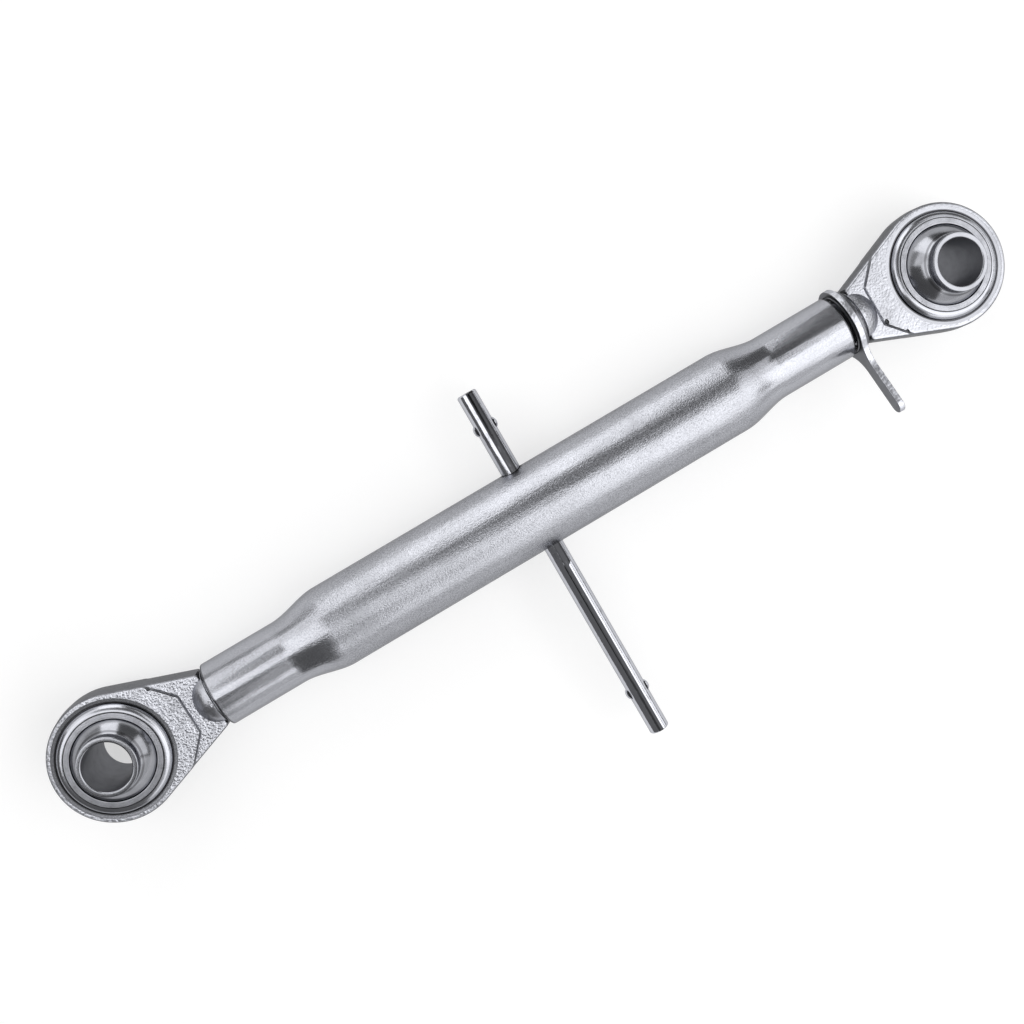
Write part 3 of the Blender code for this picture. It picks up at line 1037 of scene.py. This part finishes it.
@dataclass
class Tube:
    """The swaged tube that the rods screw into."""

    axis: Vector
    left: float
    right: float
    radius: float = 0.0231
    swage_radius: float = 0.0181
    bore: float = 0.015
    inner: float = 0.0181
    swage: float = 0.043
    taper: float = 0.028
    chamfer: float = 0.0009
    hole: float = 0.0061
    steps: int = 144
    ease_steps: int = 24
    crease: float = 32.0

    def wall(self, small: float, large: float, lip: float) -> Profile:
        """One side of the wall from end to end.

        Args:
            small: its radius at the ends.
            large: its radius along the middle.
            lip: how far the end chamfer moves it.

        Returns:
            Its points, from left to right.
        """
        length = self.right - self.left
        near = []
        for share in (i / self.ease_steps for i in range(self.ease_steps + 1)):
            ease = share * share * (3 - 2 * share)
            near.append((small + (large - small) * ease, self.swage + self.taper * share))
        far = [(r, length - h) for r, h in reversed(near)]
        start = [(small + lip, 0.0), (small + lip * 0.3, self.chamfer * 0.35), (small, self.chamfer)]
        return start + near + far + [(r, length - h) for r, h in reversed(start)]

    def middle(self) -> Vector:
        """The tube's middle, where the bar passes."""
        return Vector(((self.left + self.right) / 2, self.axis.y, self.axis.z))

    def build(self) -> Piece:
        """Turn the tube and drill it across.

        Returns:
            The tube.
        """
        profile = self.wall(self.swage_radius, self.radius, -self.chamfer)
        profile += reversed(self.wall(self.bore, self.inner, self.chamfer))
        piece = turned("barrel_tube_swaged", profile, self.steps, along_link(self.left, self.axis))
        across = Matrix.Translation(self.middle()) @ Matrix.Rotation(QUARTER, 4, "X")
        drill(piece, self.hole, 2 * self.radius, across)
        return piece

    def dress(self, piece: Piece) -> None:
        """Plate the tube.

        Args:
            piece: the tube.
        """
        finish = SwagedSteel(
            "tube_zinc", tone=0.50, dark=0.16, roughness=0.27, spread=0.08, grain=0.0008, depth=0.00014,
            mottle=1.6, patch=0.02, cloud=0.3, fleck=0.15, centre=tuple(self.middle()),
            rim=(self.right - self.left) / 2,
        )
        paint(piece, finish)

    def run(self) -> None:
        """Build, dress and hand over the tube."""
        piece = self.build()
        self.dress(piece)
        hand_over(piece, self.crease, "barrel_tube", "zinc_tube", "barrel_tube")


@dataclass
class Lock:
    """The lock nut and the lever plate on it."""

    axis: Vector
    left: float
    plate: float = 0.0035
    bore: float = 0.015
    spigot: float = 0.0174
    collar: float = 0.0181
    stack: float = 0.006
    hole: float = 0.0177
    ring: float = 0.0205
    reach: float = 0.0575
    width: float = 0.0098
    flank: float = 0.016
    raise_angle: float = radians(18.5)
    gap: float = 0.0003
    edge: float = 0.0007
    ease: float = 0.0006
    spigot_ease: float = 0.0005
    collar_ease: float = 0.0002
    lever_edge: float = 0.00045
    nut_crease: float = 32.0
    lever_crease: float = 30.0

    def nut(self) -> Piece:
        """Turn the nut: a spigot and a rounded collar behind the lever.

        Returns:
            The nut.
        """
        step = self.plate + self.gap
        rim = arc((self.collar - self.edge, self.stack - self.edge), self.edge, 0.0, QUARTER, 5)
        bore, spigot, collar, ease = self.bore, self.spigot, self.collar, self.ease
        front = [(bore + ease, 0.0), (spigot - self.spigot_ease, 0.0), (spigot, self.spigot_ease)]
        shoulder = [(spigot, step), (collar - self.collar_ease, step), (collar, step + self.collar_ease)]
        back = [(bore + ease, self.stack), (bore, self.stack - ease), (bore, ease)]
        place = along_link(self.left, self.axis)
        return turned("lock_nut_turned", front + shoulder + rim + back, 128, place)

    def lever_outline(self) -> List[Vector]:
        """Ring and arm in one outline, the arm along X.

        Returns:
            The corners.
        """
        half = self.width / 2
        height = half + self.flank
        along = sqrt((self.ring + self.flank) ** 2 - height**2)
        leave = atan2(height, along)
        tip = self.reach - half
        points = arc((0.0, 0.0), self.ring, leave, tau - leave, 90)
        points += arc((along, -height), self.flank, pi - leave, QUARTER, 12)[1:]
        points += arc((tip, 0.0), half, -QUARTER, QUARTER, 24)
        points += arc((along, height), self.flank, -QUARTER, leave - pi, 12)[:-1]
        return [Vector((x, y, 0.0)) for x, y in points]

    def lever(self) -> Piece:
        """Cut the lever from plate, ease its edges and bore it.

        Returns:
            The lever.
        """
        piece = cut_out("lock_lever_plate", self.lever_outline(), self.plate)
        pick(piece, "EDGE", lambda p: abs(p[0].z - p[1].z) < HAIR)
        bpy.ops.mesh.bevel(offset=self.lever_edge, segments=3, affect="EDGES", profile=0.5)
        drill(piece, self.hole, 2 * self.plate, Matrix())
        across = Matrix(((0, 0, 1), (1, 0, 0), (0, 1, 0))).to_4x4()
        swing = Matrix.Rotation(pi - self.raise_angle, 4, "X") @ across
        return settle(piece, Matrix.Translation((self.left, self.axis.y, self.axis.z)) @ swing)

    def dress_nut(self, nut: Piece) -> None:
        """Plate the nut, with its lathe rings.

        Args:
            nut: the nut.
        """
        finish = TurnedSteel(
            "nut_zinc", tone=0.22, dark=0.10, roughness=0.28, depth=0.00003, fleck=0.4, patch=0.006,
            centre=(self.left, self.axis.y, self.axis.z), turn=(0.0, QUARTER, 0.0), ring=0.0004,
        )
        paint(nut, finish)

    def dress_lever(self, lever: Piece) -> None:
        """Plate the lever's faces and its sheared edges.

        Args:
            lever: the lever.
        """
        face = Steel(
            "lever_zinc", tone=0.24, dark=0.12, roughness=0.32, spread=0.08, grain=0.0013, mottle=0.6,
            patch=0.007, fleck=0.4,
        )
        sheared = CastSteel(
            "lever_sheared_edge", tone=0.72, dark=0.15, roughness=0.30, spread=0.12, grain=0.0008,
            depth=0.0003, mottle=0.4, patch=0.005, cloud=0.8, fleck=0.4, stretch=(0.3, 1.0, 1.0),
            pit=0.0022, pit_share=0.5,
        )
        paint(lever, face, sheared)
        for part in lever.data.polygons:
            part.material_index = 1 if abs(part.normal.x) < 0.5 else 0

    def run(self) -> None:
        """Build, dress and hand over nut and lever."""
        nut = self.nut()
        self.dress_nut(nut)
        hand_over(nut, self.nut_crease, "lock", "zinc_lever", "lock_nut")
        lever = self.lever()
        self.dress_lever(lever)
        hand_over(lever, self.lever_crease, "lock", "zinc_lever", "lock_lever")


@dataclass
class Bar:
    """The turning bar with its staked ears."""

    middle: Vector
    radius: float = 0.0056
    length: float = 0.2125
    edge: float = 0.0011
    front_ear: float = 0.0258
    rear_ear: float = 0.0206
    ear_proud: float = 0.0014
    ear_length: float = 0.007
    ear_wide: float = 0.0026
    ear_half: float = 0.0026
    punch: Triple = (0.0008, 0.0030, 0.0012)
    punch_in: float = 0.0007
    punch_up: float = 0.0021
    crease: float = 34.0

    def stake(self, piece: Piece, along: float) -> None:
        """Raise a pair of ears with punch marks beside them.

        Args:
            piece: the bar, in its own axes.
            along: where the ears stand along it.
        """
        proud = self.radius + self.ear_proud
        for side in (-1, 1):
            middle = (side * (proud - self.ear_wide), along, 0.0)
            radii = (self.ear_wide, self.ear_length / 2, self.ear_half)
            work(piece, bead(radii, middle), Join.ADD)
            for face in (-1, 1):
                mark = (side * (self.radius - self.punch_in), along, face * self.punch_up)
                work(piece, bead(self.punch, mark), Join.CUT)

    def build(self) -> Piece:
        """Turn the bar and stake its ears.

        Returns:
            The bar.
        """
        half = self.length / 2
        end = arc((self.radius - self.edge, half - self.edge), self.edge, 0.0, QUARTER, 5)
        profile = [(0.0, -half), *[(r, -h) for r, h in reversed(end)], *end, (0.0, half)]
        piece = turned("tommy_bar_bright", profile, 96, Matrix.Rotation(-QUARTER, 4, "X"))
        self.stake(piece, self.front_ear - half)
        self.stake(piece, half - self.rear_ear)
        return settle(piece, Matrix.Translation(self.middle))

    def dress(self, piece: Piece) -> None:
        """Brighten the bar, with its painted dark reflection, and paint shade into its punch marks.

        Args:
            piece: the bar.
        """
        finish = DrawnSteel(
            "bar_bright_zinc", tone=0.66, dark=0.05, roughness=0.09, spread=0.05, depth=0.00003,
            mottle=0.2, patch=0.008, cloud=0.2, fleck=0.3, centre=tuple(self.middle),
            stretch=(1.0, 0.25, 1.0),
        )
        # Painted shade: the punch marks take a near-black tone.
        punch_shade = Steel("bar_punch_shade", tone=0.10, dark=0.05, roughness=0.40, grain=0.0009)
        paint(piece, finish, punch_shade)
        for face in piece.data.polygons:
            here = face.center - self.middle
            sunk = hypot(here.x, here.z) < self.radius - SLACK
            face.material_index = 1 if sunk and abs(here.y) < self.length / 2 - self.edge else 0

    def run(self) -> None:
        """Build, dress and hand over the bar."""
        piece = self.build()
        self.dress(piece)
        hand_over(piece, self.crease, "tommy_bar", "bright_bar", "tommy_bar")


@dataclass(frozen=True)
class Lamp:
    """One soft panel."""

    name: str
    facing: Facing
    place: Triple
    size: Pair
    radiance: float

    def hang(self) -> None:
        """Put the panel up."""
        data = bpy.data.lights.new(self.name, "AREA")
        data.shape = "RECTANGLE"
        data.size, data.size_y = self.size
        data.energy = self.radiance * self.size[0] * self.size[1] * pi
        made = bpy.data.objects.new(self.name, data)
        back = -Vector(self.facing.value)
        side = Vector((0, 0, 1)).cross(back)
        side = side.normalized() if side.length > 0.01 else Vector((1, 0, 0))
        axes = Matrix((side, back.cross(side), back)).transposed().to_4x4()
        made.matrix_world = Matrix.Translation(self.place) @ axes
        bpy.context.scene.collection.objects.link(made)


@dataclass
class Studio:
    """Floor, lamps, surroundings and camera."""

    lens: float = 44.9104
    eye: Triple = (-0.05322, 0.12473, 0.70575)
    right: Triple = (0.85924, -0.49873, 0.11390)
    down: Triple = (-0.50818, -0.85771, 0.07803)
    lamps: Tuple[Lamp, ...] = (
        Lamp("front_right_ceiling", Facing.DOWN, (0.75, -0.6, 1.2), (1.5, 1.2), 1.95),
        Lamp("front_middle_ceiling", Facing.DOWN, (-0.25, -0.8, 1.2), (0.5, 0.8), 0.5),
        Lamp("right_ceiling", Facing.DOWN, (1.0, 0.2, 1.2), (1.0, 0.4), 1.3),
        Lamp("left_ceiling", Facing.DOWN, (-0.9, 0.12, 1.2), (1.2, 0.4), 1.6),
        Lamp("middle_ceiling", Facing.DOWN, (-0.15, -0.05, 1.2), (0.3, 0.7), 1.3),
        Lamp("rear_middle_ceiling", Facing.DOWN, (-0.25, 0.8, 1.2), (0.5, 0.8), 0.3),
        Lamp("rear_left_ceiling", Facing.DOWN, (-0.9, 0.76, 1.2), (1.2, 0.88), 1.6),
        Lamp("rear_right_ceiling", Facing.DOWN, (1.3, 0.8, 1.2), (0.8, 0.8), 0.8),
        Lamp("rear_left_high_wall", Facing.FORWARD, (-0.88, 1.2, 0.8), (1.24, 0.8), 1.15),
        Lamp("rear_left_low_wall", Facing.FORWARD, (-0.88, 1.2, 0.2), (1.24, 0.4), 0.3),
        Lamp("rear_wall", Facing.FORWARD, (0.13, 1.2, 0.6), (0.76, 1.2), 1.95),
        Lamp("front_wall", Facing.BACKWARD, (0.5, -1.2, 0.9), (2.0, 0.6), 1.45),
        Lamp("right_wall", Facing.LEFTWARD, (1.8, -0.35, 0.75), (1.6, 0.9), 1.2),
        Lamp("front_low_wall", Facing.BACKWARD, (0.5, -1.2, 0.3), (2.0, 0.6), 0.65),
    )
    surroundings_level: float = 0.14
    floor_tone: float = 0.47
    floor_glow: float = 0.57
    floor_sheen: float = 0.7
    floor_radius: float = 9.0
    floor_drop: float = 0.0005
    sensor: float = 36.0
    nearest: float = 0.01

    def floor(self) -> None:
        """Lay the white floor, which keeps a soft shadow."""
        clear()
        below = (0, 0, -self.floor_drop)
        bpy.ops.mesh.primitive_circle_add(
            vertices=96, radius=self.floor_radius, fill_type="NGON", location=below
        )
        piece = bpy.context.active_object
        piece.name = "studio_floor"
        bpy.ops.object.transform_apply()
        made = bpy.data.materials.new("floor_white")
        made.use_nodes = True
        tree = made.node_tree
        tree.nodes.clear()
        sheet = Sheet(tree)
        rays = tree.nodes.new("ShaderNodeLightPath").outputs
        camera, glossy, through = (Signal(sheet, rays[f"Is {kind} Ray"]) for kind in RAYS)
        seen = camera + glossy * self.floor_sheen + through
        matt = sheet.node("ShaderNodeBsdfDiffuse", None, {"Color": (self.floor_tone,) * 3 + (1.0,)})
        glow = sheet.node("ShaderNodeEmission", None, {"Color": WHITE, "Strength": seen * self.floor_glow})
        surface = sheet.node("ShaderNodeAddShader", None, {0: matt, 1: glow})
        tree.links.new(surface.socket, tree.nodes.new("ShaderNodeOutputMaterial").inputs[0])
        piece.data.materials.append(made)

    def surroundings(self) -> None:
        """Surround the studio with an even, dim white."""
        world = bpy.data.worlds.new("studio")
        world.use_nodes = True
        bpy.context.scene.world = world
        background = world.node_tree.nodes["Background"]
        background.inputs["Color"].default_value = WHITE
        background.inputs["Strength"].default_value = self.surroundings_level

    def camera(self) -> None:
        """Stand the camera where the photograph was taken from."""
        data = bpy.data.cameras.new("camera")
        data.lens = self.lens
        data.sensor_width = self.sensor
        data.clip_start = self.nearest
        made = bpy.data.objects.new("camera", data)
        right = Vector(self.right).normalized()
        down = Vector(self.down)
        down = (down - right * down.dot(right)).normalized()
        back = right.cross(-down)
        axes = Matrix((right, -down, back)).transposed().to_4x4()
        made.matrix_world = Matrix.Translation(self.eye) @ axes
        bpy.context.scene.collection.objects.link(made)
        bpy.context.scene.camera = made

    def run(self) -> None:
        """Set up the studio."""
        bpy.context.scene.view_settings.view_transform = "Standard"
        self.floor()
        self.surroundings()
        for lamp in self.lamps:
            lamp.hang()
        self.camera()


def main() -> None:
    """Build the link, piece by piece, and its studio."""
    logging.basicConfig(level=logging.INFO, format="%(message)s")
    left_eye = joint_place("left_ball_tilt")
    right_eye = joint_place("right_ball_tilt")
    low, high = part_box("barrel_tube")
    lock_low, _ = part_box("lock_nut")
    bar_low, bar_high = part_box("tommy_bar")
    _, left_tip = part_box("left_rod_end")
    neck_left, neck_right = 0.0582, 0.054
    shank = left_tip.x - left_eye.x - neck_left
    RodEnd(
        "left_rod_end", left_eye, turn=0.0, roll=radians(2.0), neck=neck_left, hand=Hand.LEFT,
        skin_tone=0.70, pit_depth=0.0009, pit_share=0.8, dome_depth=0.00008, dome_fleck=0.15,
        shank_length=shank, dents=((0.0336, 0.0228, 0.0010),),
    ).run()
    RodEnd(
        "right_rod_end", right_eye, turn=pi, roll=radians(4.5), neck=neck_right, hand=Hand.RIGHT,
        skin_tone=0.64, pit_depth=0.00022, pit_share=0.25, dome_depth=0.00045, dome_fleck=0.5,
        shank_length=shank, dents=((0.0427, 0.0106, 0.0011), (0.0352, 0.0208, 0.0009)),
    ).run()
    Ball("left_ball", left_eye, lean=radians(-2.3)).run()
    Ball("right_ball", right_eye, lean=radians(5.0)).run()
    Tube(left_eye, low.x, high.x).run()
    Lock(left_eye, lock_low.x).run()
    Bar((bar_low + bar_high) / 2).run()
    Studio().run()


if __name__ == "__main__":
    main()
